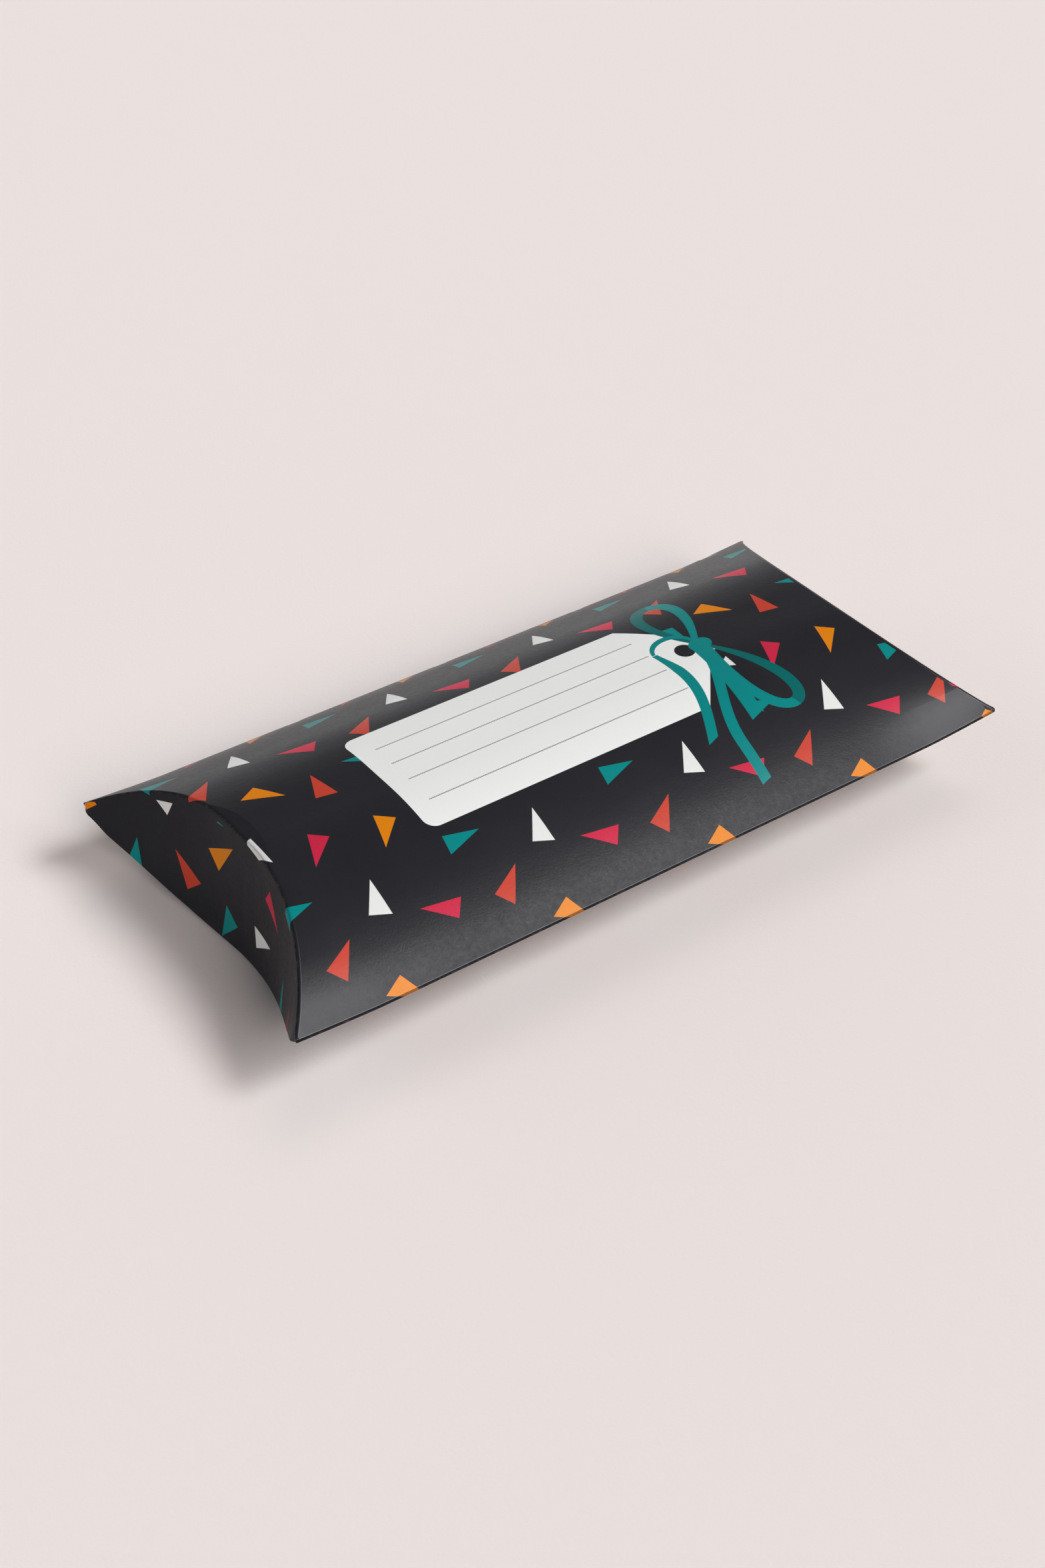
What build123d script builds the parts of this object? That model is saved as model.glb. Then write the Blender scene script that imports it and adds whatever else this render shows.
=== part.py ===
import os
from math import cos, radians, sin

from build123d import *

# Pillow box, closed, folded from one die-cut card blank, in millimetres.
# Length runs along X and width along Y. The origin is on the table under the middle of the box.

# Overall form
box_length = 330
box_width = 156.6
panel_rise = 27.7
crown_width = 16
card_thickness = 0.5

# End flaps: each leans out a little from its curved crease
flap_lean = 2
fold_gap = 0.3
flap_gap = 0.3
crease_width = 2.4
outer_flap_drop = 24.5
inner_flap_rise = 2.6

# Long folds and the glued seam at the back
fold_leg = 4
seam_nose = 2
ear_trim = 1
glue_flap_width = 14
glue_flap_setback = 9
glue_gap = 0.4
film_clearance = 0.12
film_margin = 2

half_length = box_length / 2
half_width = box_width / 2
panel_edge = half_width - fold_leg
seam_edge = half_width - seam_nose
end_depth = 2 * panel_rise
upper, lower = 1, -1
left, right = -1, 1


def section_plane(height):
    """Plane across the left end that looks along the box, at a height above the table."""
    return Plane(origin=(-half_length, 0, height), x_dir=(0, 1, 0), z_dir=(1, 0, 0))


def bulge_line(rise, side):
    """Draw a flat crown and one tangent arc down to each long fold."""
    crown_left = (-crown_width / 2, side * rise)
    crown_right = (crown_width / 2, side * rise)
    TangentArc(crown_left, (-half_width, 0), tangent=(-1, 0))
    Line(crown_left, crown_right)
    TangentArc(crown_right, (half_width, 0), tangent=(1, 0))


def lens(rise_above, rise_below, shift=0):
    """Outline of the box seen from its end, between two bulges, moved up by shift."""
    with BuildSketch(section_plane(panel_rise + shift)) as outline:
        with BuildLine():
            bulge_line(rise_above, upper)
            bulge_line(rise_below, lower)
        make_face()
    return outline.sketch


def card_layer(inset, thickness, width_range, height_range):
    """Cross-section of one layer of card, inset below the printed face."""
    low_y, high_y = width_range
    low_z, high_z = height_range
    with BuildSketch(section_plane(panel_rise)) as layer:
        with BuildLine():
            bulge_line(panel_rise, upper)
            bulge_line(panel_rise, lower)
        make_face()
        if inset:
            offset(amount=-inset, kind=Kind.INTERSECTION, mode=Mode.REPLACE)
        offset(amount=-thickness, kind=Kind.INTERSECTION, mode=Mode.SUBTRACT)
        with Locations(((low_y + high_y) / 2, (low_z + high_z) / 2)):
            Rectangle(high_y - low_y, high_z - low_z, mode=Mode.INTERSECT)
    return layer.sketch


def flap_plane(end, hinge):
    """Plane square to a flap's straight lines. Its local Y points into the box."""
    lean = radians(flap_lean)
    return Plane(
        origin=(end * half_length, 0, panel_rise),
        x_dir=(0, -end * hinge, 0),
        z_dir=(end * sin(lean), 0, -hinge * cos(lean)),
    )


def outside_end(end, hinge, inset):
    """Section of all that lies outside a curved end wall, grown into the box."""
    with BuildSketch(flap_plane(end, hinge)) as outside:
        with BuildLine():
            bulge_line(panel_rise, upper)
            Polyline(
                (half_width, 0),
                (half_width, -end_depth),
                (-half_width, -end_depth),
                (-half_width, 0),
            )
        make_face()
        if inset:
            offset(amount=inset, kind=Kind.INTERSECTION, mode=Mode.REPLACE)
    return outside.sketch


def trim_ends(hinges, inset):
    """Cut the piece in hand along the curved creases at both ends."""
    for end in (left, right):
        for hinge in hinges:
            cutter = outside_end(end, hinge, inset)
            extrude(cutter, amount=end_depth, both=True, mode=Mode.SUBTRACT)


os.makedirs("parts", exist_ok=True)

above_folds = (0, panel_rise)
below_folds = (-panel_rise, 0)
full_height = (-panel_rise, panel_rise)

lean_overlap = 2 * inner_flap_rise * sin(radians(flap_lean))
inner_flap_inset = card_thickness + lean_overlap + flap_gap
outer_flap_depth = card_thickness + fold_gap
inner_flap_depth = inner_flap_inset + card_thickness + fold_gap

# Top panel, trimmed clear of the outer flaps that fold down from it
with BuildPart() as top_panel:
    profile = card_layer(0, card_thickness, (-panel_edge, panel_edge), above_folds)
    extrude(profile, amount=box_length)
    trim_ends([upper], outer_flap_depth)

# Bottom panel: at the back it runs on to its raw edge against the seam
with BuildPart() as bottom_panel:
    profile = card_layer(0, card_thickness, (-panel_edge, seam_edge), below_folds)
    extrude(profile, amount=box_length)
    trim_ends([lower], inner_flap_depth)

# Front fold: the creased edge that joins both panels, with an ear at each end
with BuildPart() as front_fold:
    profile = card_layer(0, card_thickness, (-half_width, -panel_edge), full_height)
    extrude(profile, amount=box_length)
    trim_ends([upper, lower], 0)
    with BuildSketch(Plane.XY):
        Rectangle(box_length - 2 * ear_trim, box_width)
    extrude(amount=end_depth, mode=Mode.INTERSECT)

# Back fold: a nose where the top panel turns under into the glue flap
nose_depth = 2 * card_thickness + glue_gap
with BuildPart() as back_fold:
    nose = card_layer(0, nose_depth, (seam_edge, half_width), full_height)
    extrude(nose, amount=box_length)
    leg = card_layer(0, card_thickness, (panel_edge, half_width), above_folds)
    extrude(leg, amount=box_length)
    trim_ends([upper, lower], 0)
    with BuildSketch(Plane.XY):
        Rectangle(box_length - 2 * ear_trim, box_width)
    extrude(amount=end_depth, mode=Mode.INTERSECT)

# Glue flap: a strip with slanted ends, stuck inside the bottom panel
long_half = half_length - glue_flap_setback
short_half = long_half - glue_flap_width
inner_edge = seam_edge - glue_flap_width
flap_inset = card_thickness + glue_gap
with BuildPart() as glue_flap:
    profile = card_layer(flap_inset, card_thickness, (inner_edge, seam_edge), below_folds)
    extrude(profile, amount=box_length)
    with BuildSketch(Plane.XY):
        with BuildLine():
            Polyline(
                (-long_half, seam_edge),
                (long_half, seam_edge),
                (short_half, inner_edge),
                (-short_half, inner_edge),
                close=True,
            )
        make_face()
    extrude(amount=end_depth, mode=Mode.INTERSECT)

# Glue line: the dried film between the glue flap and the bottom panel
film_inset = card_thickness + film_clearance
film_thickness = glue_gap - 2 * film_clearance
film_edges = (inner_edge + film_margin, seam_edge - film_margin)
with BuildPart() as glue_line:
    profile = card_layer(film_inset, film_thickness, film_edges, below_folds)
    extrude(profile, amount=box_length)
    with BuildSketch(Plane.XY):
        Rectangle(2 * (short_half - film_margin), box_width)
    extrude(amount=end_depth, mode=Mode.INTERSECT)

fixed_pieces = {
    "top_panel": top_panel,
    "bottom_panel": bottom_panel,
    "front_fold": front_fold,
    "back_fold": back_fold,
    "glue_flap": glue_flap,
    "glue_line": glue_line,
}
for name, piece in fixed_pieces.items():
    piece.part.label = name
    export_step(piece.part, f"parts/{name}.step")

# Flaps: each has a scored strip that bends at the crease, and the flap that hangs from it.
# The outer flap hangs from the top panel, and the inner one stands on the bottom panel.
flap_shapes = {
    "outer": (upper, 0, panel_rise, outer_flap_drop),
    "inner": (lower, inner_flap_inset, inner_flap_rise, panel_rise),
}
flap_width = 2 * (panel_edge - fold_gap)
for end_name, end in (("left", left), ("right", right)):
    for flap_name, (hinge, inset, rise_above, rise_below) in flap_shapes.items():
        with BuildPart() as wall:
            inside_face = outside_end(end, hinge, inset + card_thickness)
            extrude(inside_face, amount=end_depth, both=True)
            outside_face = outside_end(end, hinge, inset)
            extrude(outside_face, amount=end_depth, both=True, mode=Mode.SUBTRACT)
            extrude(lens(rise_above, rise_below), amount=box_length, mode=Mode.INTERSECT)
            with BuildSketch(Plane.XY):
                Rectangle(box_length, flap_width)
            extrude(amount=end_depth, mode=Mode.INTERSECT)
        past_crease = lens(panel_rise, panel_rise, -hinge * crease_width)
        with BuildPart() as crease:
            add(wall.part)
            extrude(past_crease, amount=box_length, mode=Mode.SUBTRACT)
        with BuildPart() as flap:
            add(wall.part)
            extrude(past_crease, amount=box_length, mode=Mode.INTERSECT)
        for kind, piece in (("crease", crease), ("flap", flap)):
            name = f"{end_name}_{flap_name}_{kind}"
            piece.part.label = name
            export_step(piece.part, f"parts/{name}.step")
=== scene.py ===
import math

import bpy
import numpy as np
from mathutils import Matrix, Vector


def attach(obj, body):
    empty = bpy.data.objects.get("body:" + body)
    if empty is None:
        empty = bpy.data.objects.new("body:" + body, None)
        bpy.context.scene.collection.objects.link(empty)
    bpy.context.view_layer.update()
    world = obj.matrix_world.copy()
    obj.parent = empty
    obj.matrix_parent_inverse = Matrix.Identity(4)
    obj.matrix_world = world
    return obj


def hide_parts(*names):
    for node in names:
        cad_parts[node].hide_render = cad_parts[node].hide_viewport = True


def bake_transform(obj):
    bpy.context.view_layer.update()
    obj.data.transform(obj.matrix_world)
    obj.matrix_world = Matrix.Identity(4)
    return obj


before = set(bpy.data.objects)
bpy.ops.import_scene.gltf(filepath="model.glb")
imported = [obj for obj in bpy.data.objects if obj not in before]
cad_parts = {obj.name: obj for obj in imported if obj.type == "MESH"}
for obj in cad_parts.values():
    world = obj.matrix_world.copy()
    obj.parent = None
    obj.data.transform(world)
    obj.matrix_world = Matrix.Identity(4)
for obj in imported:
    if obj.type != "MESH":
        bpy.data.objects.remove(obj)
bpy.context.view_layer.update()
print("frame loaded")

mm = 0.001


def addNode(tree, kind, settings=None, values=None, output=0):
    # settings go first, because they decide which sockets a node shows
    node = tree.nodes.new(kind)
    for name, value in (settings or {}).items():
        setattr(node, name, value)
    shown = [socket for socket in node.inputs if socket.enabled]
    for key, value in (values or {}).items():
        if isinstance(key, int):
            socket = shown[key]
        else:
            socket = next(one for one in shown if one.name == key)
        if isinstance(value, Wire):
            tree.links.new(value.socket, socket)
        else:
            socket.default_value = value
    outputs = [socket for socket in node.outputs if socket.enabled]
    if not outputs:
        return node
    if isinstance(output, str):
        return Wire(tree, next(one for one in outputs if one.name == output))
    return Wire(tree, outputs[output])


def sumOf(operation, swapped=False):
    # a method of Wire that takes one other term
    def work(self, other):
        return self.maths(operation, *((other, self) if swapped else (self, other)))

    return work


class Wire:
    # a socket that takes part in plain sums, in shader and geometry trees alike
    def __init__(self, tree, socket):
        self.tree = tree
        self.socket = socket

    def maths(self, operation, *terms, clamp=False):
        settings = {"operation": operation, "use_clamp": clamp}
        return addNode(self.tree, "ShaderNodeMath", settings, dict(enumerate(terms)))

    def vector(self, operation, *terms, output=0):
        settings = {"operation": operation}
        return addNode(self.tree, "ShaderNodeVectorMath", settings, dict(enumerate(terms)), output)

    __add__ = sumOf("ADD")
    __sub__ = sumOf("SUBTRACT")
    __mul__ = sumOf("MULTIPLY")
    __truediv__ = sumOf("DIVIDE")
    __lt__ = sumOf("LESS_THAN")
    __gt__ = sumOf("GREATER_THAN")
    __radd__ = sumOf("ADD", True)
    __rsub__ = sumOf("SUBTRACT", True)
    __rmul__ = sumOf("MULTIPLY", True)
    least = sumOf("MINIMUM")
    most = sumOf("MAXIMUM")

    def __neg__(self):
        return self.maths("MULTIPLY", self, -1.0)

    def __abs__(self):
        return self.maths("ABSOLUTE", self)

    def clamped(self):
        return self.maths("ADD", self, 0.0, clamp=True)

    def inside(self, softness):
        # one where the value is below zero, with a narrow soft edge
        return self.maths("MULTIPLY_ADD", self, -1.0 / softness, 0.5, clamp=True)

    def sine(self):
        return self.maths("SINE", self)

    def root(self):
        return self.maths("SQRT", self)

    def rounded(self):
        return self.maths("ROUND", self)

    def part(self, axis):
        return addNode(self.tree, "ShaderNodeSeparateXYZ", None, {0: self}, axis)


def blendColours(tree, factor, first, second):
    settings = {"data_type": "RGBA", "blend_type": "MIX"}
    return addNode(tree, "ShaderNodeMix", settings, {"Factor": factor, "A": first, "B": second})


def combine(tree, x, y, z):
    return addNode(tree, "ShaderNodeCombineXYZ", None, {0: x, 1: y, 2: z})


def mixNumbers(first, second, factor):
    return first + (second - first) * factor


def ramp(value, start, stop):
    # none before start, all of it from stop on
    return ((value - start) / (stop - start)).clamped()


def ink(red, green, blue):
    # a colour as it looks on screen, turned into Blender's linear values
    def linear(level):
        level = level / 255
        return level / 12.92 if level <= 0.04045 else ((level + 0.055) / 1.055) ** 2.4

    return (linear(red), linear(green), linear(blue), 1.0)


# Folded form, in millimetres. The overall sizes are those of the solids
form = {
    "halfLength": 165.0,
    "halfWidth": 78.3,
    "rise": 27.7,
    "crownHalf": 8.0,
    "cardThickness": 0.5,
    "foldHeight": 27.7,
    "outerEdgeRise": 24.5,
    "innerEdgeRise": 2.6,
    "step": 1.3,  # from one row of a panel to the next
    "panelPoints": 90,  # along each row of a panel
    "flapPoints": 44,  # down each row of a flap, with the bend
    "bendCells": 8,
    "bend": 0.9,  # a crease is rounded this far on both sides of its line
    "bendShare": 0.35,  # and no further than this share of the height above the fold
    "beadStart": 76.2,  # the rounded long folds start here
    "jointShare": 0.25,  # the two sheets meet at this share of the way round the front fold
    "rawEdge": 76.3,
    "glueInset": 0.9,
    "glueEdge": 62.3,
    "glueLong": 156.0,
    "glueShort": 142.0,
    "glueRows": 3,  # rows of the back fold that share the slanted ends of the glue flap
    "earReach": 164.0,
    "earStart": 128.0,
    "earLift": 2.0,
    "earCurve": 1.3,
    "backEarPlaces": (64.0, 77.0),
    "innerInset": 1.2,  # the inner crease lies this far inside the outer one
    "creaseStart": 1.0,  # the inner crease keeps clear of the fold below this height
    "noseHalf": 0.75,  # half the height of the fold's own nose, which has no crease
    "ridgeHeight": 0.42,
    "underHeight": -1.1,
    "sharpAngle": 0.7,  # radians between two faces
    "swayFrom": 8.0,  # shorter rows of a flap sway no more steeply than this one
}

# Corner points of the rounded long folds, from the lower panel to the upper one
frontNose = [
    (-76.2, -1.905),
    (-77.3, -1.4),
    (-78.0, -1.1),
    (-78.15, -0.85),
    (-78.15, 0.05),
    (-78.1, 0.24),
    (-77.93, 0.42),
    (-77.7, 0.6),
    (-76.2, 1.905),
]
backNose = [
    (76.2, 1.905),
    (77.6, 0.86),
    (78.2, 0.5),
    (78.2, -0.3),
    (77.5, -0.6),
    (76.4, -0.72),
    (75.68, -1.16),
]

# Each end: how far its creases run in along the box for each millimetre up or down, how far its
# flaps lean outwards in degrees, how much of edgeSway it has, and where its back ear ends
ends = {
    "left": {
        "side": -1,
        "topSlope": 0.969,
        "bottomSlope": 1.0355,
        "outerLean": 7.5,
        "innerLean": 2.0,
        "edgeSway": 1.0,
        "backEar": 161.4,
    },
    "right": {
        "side": 1,
        "topSlope": 1.095,
        "bottomSlope": 1.09,
        "outerLean": 5.0,
        "innerLean": 2.0,
        "edgeSway": 0.0,
        "backEar": 163.2,
    },
}

# How far the free edge of a bowed outer flap stands out from a plain lean, at places across the box
edgeSway = {
    "across": (-78, -68, -60, -52, -44, -36, -28, -20, -12, -4, 4, 12, 20, 28, 36, 44, 54, 68, 78),
    "front": (1.6, 2.3, 2.3, 1.7, 0.8, -0.3, -1.3, -2.0, -2.4, -2.4),
    "back": (-1.7, -0.9, -0.2, 0.3, 0.7, 0.9, 0.8, 0.8, -0.5),
}

# How much of its own bulge the lower edge of a flap keeps near the back ears
edgeNarrow = {"across": (66.0, 75.0, 78.0), "kept": (1.0, 0.7, 0.0)}


def bulge(across, rise):
    # height of a bulge above the folds: a flat crown, and one tangent arc down to each fold
    reach = form["halfWidth"] - form["crownHalf"]
    radius = (reach**2 + rise**2) / (2 * rise)
    out = np.clip(np.abs(across) - form["crownHalf"], 0, reach)
    return rise - radius + np.sqrt(radius**2 - out**2)


def roundCorners(points, times=3):
    points = np.array(points, float)
    for _ in range(times):
        near = 0.75 * points[:-1] + 0.25 * points[1:]
        far = 0.25 * points[:-1] + 0.75 * points[1:]
        middle = np.stack([near, far], 1).reshape(-1, 2)
        points = np.vstack([points[:1], middle, points[-1:]])
    return points


def arcRun(start, stop, inset=0.0):
    # points of one panel between two places across the box
    reach = form["halfWidth"] - form["crownHalf"]
    radius = (reach**2 + form["rise"] ** 2) / (2 * form["rise"])

    def along(across):
        out = max(abs(across) - form["crownHalf"], 0)
        length = min(abs(across), form["crownHalf"]) + radius * math.asin(out / (radius - inset))
        return math.copysign(length, across)

    count = int(abs(stop - start) / form["step"]) + 2
    travel = np.linspace(along(start), along(stop), count)
    angle = np.maximum(np.abs(travel) - form["crownHalf"], 0) / radius
    across = np.sign(travel) * (
        np.minimum(np.abs(travel), form["crownHalf"]) + (radius - inset) * np.sin(angle)
    )
    height = form["rise"] - radius + (radius - inset) * np.cos(angle)
    return np.stack([across, height], 1)


def sheetLine():
    # outer face of the card seen from its end, from the lower panel's raw edge to the glue flap
    lower = arcRun(form["rawEdge"], -form["beadStart"]) * [1, -1]
    front = roundCorners(frontNose)
    upper = arcRun(-form["beadStart"], form["beadStart"])
    back = roundCorners(backNose)
    glue = arcRun(back[-1][0], form["glueEdge"], form["glueInset"]) * [1, -1]
    runs = [lower, front[1:], upper[1:], back[1:], glue[1:]]
    line = np.vstack(runs)
    marks = np.cumsum([len(run) for run in runs])
    tangent = np.gradient(line, axis=0)
    tangent /= np.linalg.norm(tangent, axis=1)[:, None]
    outward = np.stack([-tangent[:, 1], tangent[:, 0]], 1)
    steps = np.linalg.norm(np.diff(line, axis=0), axis=1)
    travel = np.concatenate([[0], np.cumsum(steps)])
    upperPart = slice(marks[1], marks[2])
    crown = np.interp(0, line[upperPart, 0], travel[upperPart])
    return line, outward, travel - crown, marks


line, outward, travel, marks = sheetLine()
frontCorner = marks[0] + int(form["jointShare"] * (marks[1] - marks[0]))
foldRows = slice(marks[0], marks[1])


def foldTravel(height):
    return float(np.interp(height, line[foldRows, 1], travel[foldRows]))


foldEdge, foldUnder = foldTravel(form["ridgeHeight"]), foldTravel(form["underHeight"])
print("fold line worked out", len(line), "points")


def creasePlace(end, across, height, slope, inset=0.0):
    place = form["halfLength"] - slope * np.abs(height) - inset
    reach = np.interp(across, form["backEarPlaces"], [form["earReach"], ends[end]["backEar"]])
    return ends[end]["side"] * np.minimum(place, reach)


def creaseLine(end, across, height, isOuter):
    # the outer flap hangs from the upper panel, and the inner one stands on the lower panel
    if isOuter:
        return creasePlace(end, across, height, ends[end]["topSlope"])
    inset = form["innerInset"] * (np.abs(height) > form["creaseStart"])
    return creasePlace(end, across, height, ends[end]["bottomSlope"], inset)


def bendReach(height):
    return np.minimum(form["bend"], form["bendShare"] * np.abs(height))


def pointCloudOf(name, points, vectors, numbers):
    # the rows that a tree sweeps, as a bare mesh with its facts stored on its points
    mesh = bpy.data.meshes.new(name)
    mesh.from_pydata([Vector(point) * mm for point in points], [], [])
    for title, rows in vectors.items():
        stored = mesh.attributes.new(title, "FLOAT_VECTOR", "POINT")
        stored.data.foreach_set("vector", np.asarray(rows, np.float32).ravel())
    for title, row in numbers.items():
        stored = mesh.attributes.new(title, "FLOAT", "POINT")
        stored.data.foreach_set("value", np.asarray(row, np.float32))
    piece = bpy.data.objects.new(name, mesh)
    bpy.context.scene.collection.objects.link(piece)
    return piece


def newGeometryTree(name, inputs):
    tree = bpy.data.node_groups.new(name, "GeometryNodeTree")
    tree.interface.new_socket("Geometry", in_out="INPUT", socket_type="NodeSocketGeometry")
    tree.interface.new_socket("Geometry", in_out="OUTPUT", socket_type="NodeSocketGeometry")
    for title, kind in inputs.items():
        tree.interface.new_socket(title, in_out="INPUT", socket_type=kind)
    start = tree.nodes.new("NodeGroupInput")
    taken = {socket.name: Wire(tree, socket) for socket in start.outputs if socket.name}
    return tree, taken


skinInputs = {
    "Points along": "NodeSocketInt",
    "Card thickness": "NodeSocketFloat",
    "Printed face": "NodeSocketMaterial",
    "Board face": "NodeSocketMaterial",
    "Cut edge": "NodeSocketMaterial",
}


def readAttribute(tree, title, kind):
    settings = {"data_type": kind}
    return addNode(tree, "GeometryNodeInputNamedAttribute", settings, {"Name": title})


def storeAttribute(tree, geometry, title, kind, domain, value):
    settings = {"data_type": kind, "domain": domain}
    values = {"Geometry": geometry, "Name": title, "Value": value}
    return addNode(tree, "GeometryNodeStoreNamedAttribute", settings, values)


def sheetBlock(tree, rows, alongCount, rowsAcrossX):
    # a block one cell thick, whose top becomes the printed face
    count = addNode(tree, "GeometryNodeAttributeDomainSize", {"component": "MESH"}, {0: rows})
    if rowsAcrossX:
        counts = {"Vertices X": count, "Vertices Y": alongCount}
    else:
        counts = {"Vertices X": alongCount, "Vertices Y": count}
    counts.update({"Size": (1.0, 1.0, 1.0), "Vertices Z": 2})
    block = addNode(tree, "GeometryNodeMeshCube", None, counts)
    place = addNode(tree, "GeometryNodeInputPosition")
    # 1 for the printed face, 2 for the inside, 0 for a cut edge
    face = (place.part(2) > 0.49) + 2.0 * (place.part(2) < -0.49)
    kept = storeAttribute(tree, block, "cardFace", "INT", "FACE", face)
    return kept, place, count


def rowReader(tree, rows, index):
    def read(title, kind):
        stored = readAttribute(tree, title, kind)
        return addNode(
            tree,
            "GeometryNodeSampleIndex",
            {"data_type": kind, "domain": "POINT", "clamp": True},
            {"Geometry": rows, "Value": stored, "Index": index},
        )

    return read


def finishSkin(tree, block, place, blank, taken):
    # the four ears turn up a little towards their tips
    reach = (form["earReach"] - form["earStart"]) * mm
    rise = ((abs(place.part(0)) - form["earStart"] * mm) / reach).clamped()
    rise = rise.maths("POWER", rise, form["earCurve"])
    fromFold = (abs(place.part(2) - form["foldHeight"] * mm) / (form["rise"] * mm)).clamped()
    lift = rise * (1.0 - fromFold) * (form["earLift"] * mm)
    place = place.vector("ADD", place, combine(tree, 0.0, 0.0, lift))
    # stored before the block is moved, because the print's coordinates are worked out from it
    printed = storeAttribute(tree, block, "blank", "FLOAT_VECTOR", "POINT", blank)
    moved = addNode(tree, "GeometryNodeSetPosition", None, {"Geometry": printed, "Position": place})
    angle = addNode(tree, "GeometryNodeInputMeshEdgeAngle")
    isSharp = angle > form["sharpAngle"]
    sharp = storeAttribute(tree, moved, "sharp_edge", "BOOLEAN", "EDGE", isSharp)
    whole = addNode(tree, "GeometryNodeRealizeInstances", None, {"Geometry": sharp})
    side = readAttribute(tree, "cardFace", "INT")
    for title, mark in (("Cut edge", 0), ("Printed face", 1), ("Board face", 2)):
        chosen = addNode(
            tree,
            "FunctionNodeCompare",
            {"data_type": "INT", "operation": "EQUAL"},
            {"A": side, "B": mark},
        )
        whole = addNode(
            tree,
            "GeometryNodeSetMaterial",
            None,
            {"Geometry": whole, "Selection": chosen, "Material": taken[title]},
        )
    end = tree.nodes.new("NodeGroupOutput")
    tree.links.new(whole.socket, end.inputs[0])


# Panels: each row of the fold line is drawn out along the box between its two creases
def panelTree():
    tree, taken = newGeometryTree("sweepPanel", skinInputs)
    rows = taken["Geometry"]
    block, place, count = sheetBlock(tree, rows, taken["Points along"], False)
    index = ((place.part(1) + 0.5) * (count - 1.0)).rounded()
    read = rowReader(tree, rows, index)
    share = place.part(0) + 0.5
    depth = (0.5 - place.part(2)) * taken["Card thickness"]
    foldPoint = read("position", "FLOAT_VECTOR")
    normal = read("outward", "FLOAT_VECTOR")
    along = mixNumbers(read("startX", "FLOAT"), read("endX", "FLOAT"), share)
    across = foldPoint.part(1) - normal.part(1) * depth
    height = foldPoint.part(2) - normal.part(2) * depth
    past = (read("leftCrease", "FLOAT") - along).most(along - read("rightCrease", "FLOAT"))
    blank = combine(tree, along, read("travel", "FLOAT"), past)
    finishSkin(tree, block, combine(tree, along, across, height), blank, taken)
    return tree


# Flaps: each row bends round its crease and then runs straight down to the free edge
def flapTree():
    inputs = dict(skinInputs)
    inputs["Share of rows in the bend"] = "NodeSocketFloat"
    inputs["End"] = "NodeSocketFloat"
    tree, taken = newGeometryTree("hangFlap", inputs)
    rows = taken["Geometry"]
    block, place, count = sheetBlock(tree, rows, taken["Points along"], True)
    index = ((place.part(0) + 0.5) * (count - 1.0)).rounded()
    read = rowReader(tree, rows, index)
    down = place.part(1) + 0.5
    depth = (0.5 - place.part(2)) * taken["Card thickness"]
    bendShare = taken["Share of rows in the bend"]
    turn = (down / bendShare).clamped()
    run = ((down - bendShare) / (1.0 - bendShare)).clamped()
    corner = read("position", "FLOAT_VECTOR")
    reach = read("reach", "FLOAT")
    fall = read("fall", "FLOAT")
    hanging = read("hanging", "FLOAT_VECTOR")
    panelNormal = read("panelNormal", "FLOAT_VECTOR")
    flapNormal = read("flapNormal", "FLOAT_VECTOR")

    def scale(vector, factor):
        settings = {"operation": "SCALE"}
        return addNode(tree, "ShaderNodeVectorMath", settings, {"Vector": vector, "Scale": factor})

    back = 1.0 - turn
    start = corner.vector("SUBTRACT", corner, combine(tree, taken["End"] * reach, 0.0, 0.0))
    stop = corner.vector("ADD", corner, scale(hanging, reach))
    curve = corner.vector("ADD", scale(start, back * back), scale(corner, 2.0 * turn * back))
    curve = curve.vector("ADD", curve, scale(stop, turn * turn))
    straight = curve.vector("ADD", curve, scale(hanging, (fall - reach) * run))
    normal = panelNormal.vector("ADD", scale(panelNormal, back), scale(flapNormal, turn))
    normal = normal.vector("NORMALIZE", normal)
    placed = straight.vector("SUBTRACT", straight, scale(normal, depth))
    past = reach * (2.0 * turn - 1.0) + (fall - reach) * run
    blank = combine(tree, corner.part(0) + taken["End"] * past, read("travel", "FLOAT"), past)
    finishSkin(tree, block, placed, blank, taken)
    return tree


def grow(piece, tree, values):
    # runs the tree once and keeps its result as a plain mesh
    modifier = piece.modifiers.new("grow", "NODES")
    modifier.node_group = tree
    for item in tree.interface.items_tree:
        if item.in_out == "INPUT" and item.name in values:
            modifier[item.identifier] = values[item.name]
    piece.update_tag()
    bpy.context.view_layer.update()
    reader = bpy.context.evaluated_depsgraph_get()
    made = bpy.data.meshes.new_from_object(piece.evaluated_get(reader), depsgraph=reader)
    made.name = piece.name
    piece.modifiers.remove(modifier)
    piece.data = made
    for polygon in made.polygons:
        polygon.use_smooth = True
    print(piece.name, len(made.polygons), "faces")
    return piece


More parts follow.
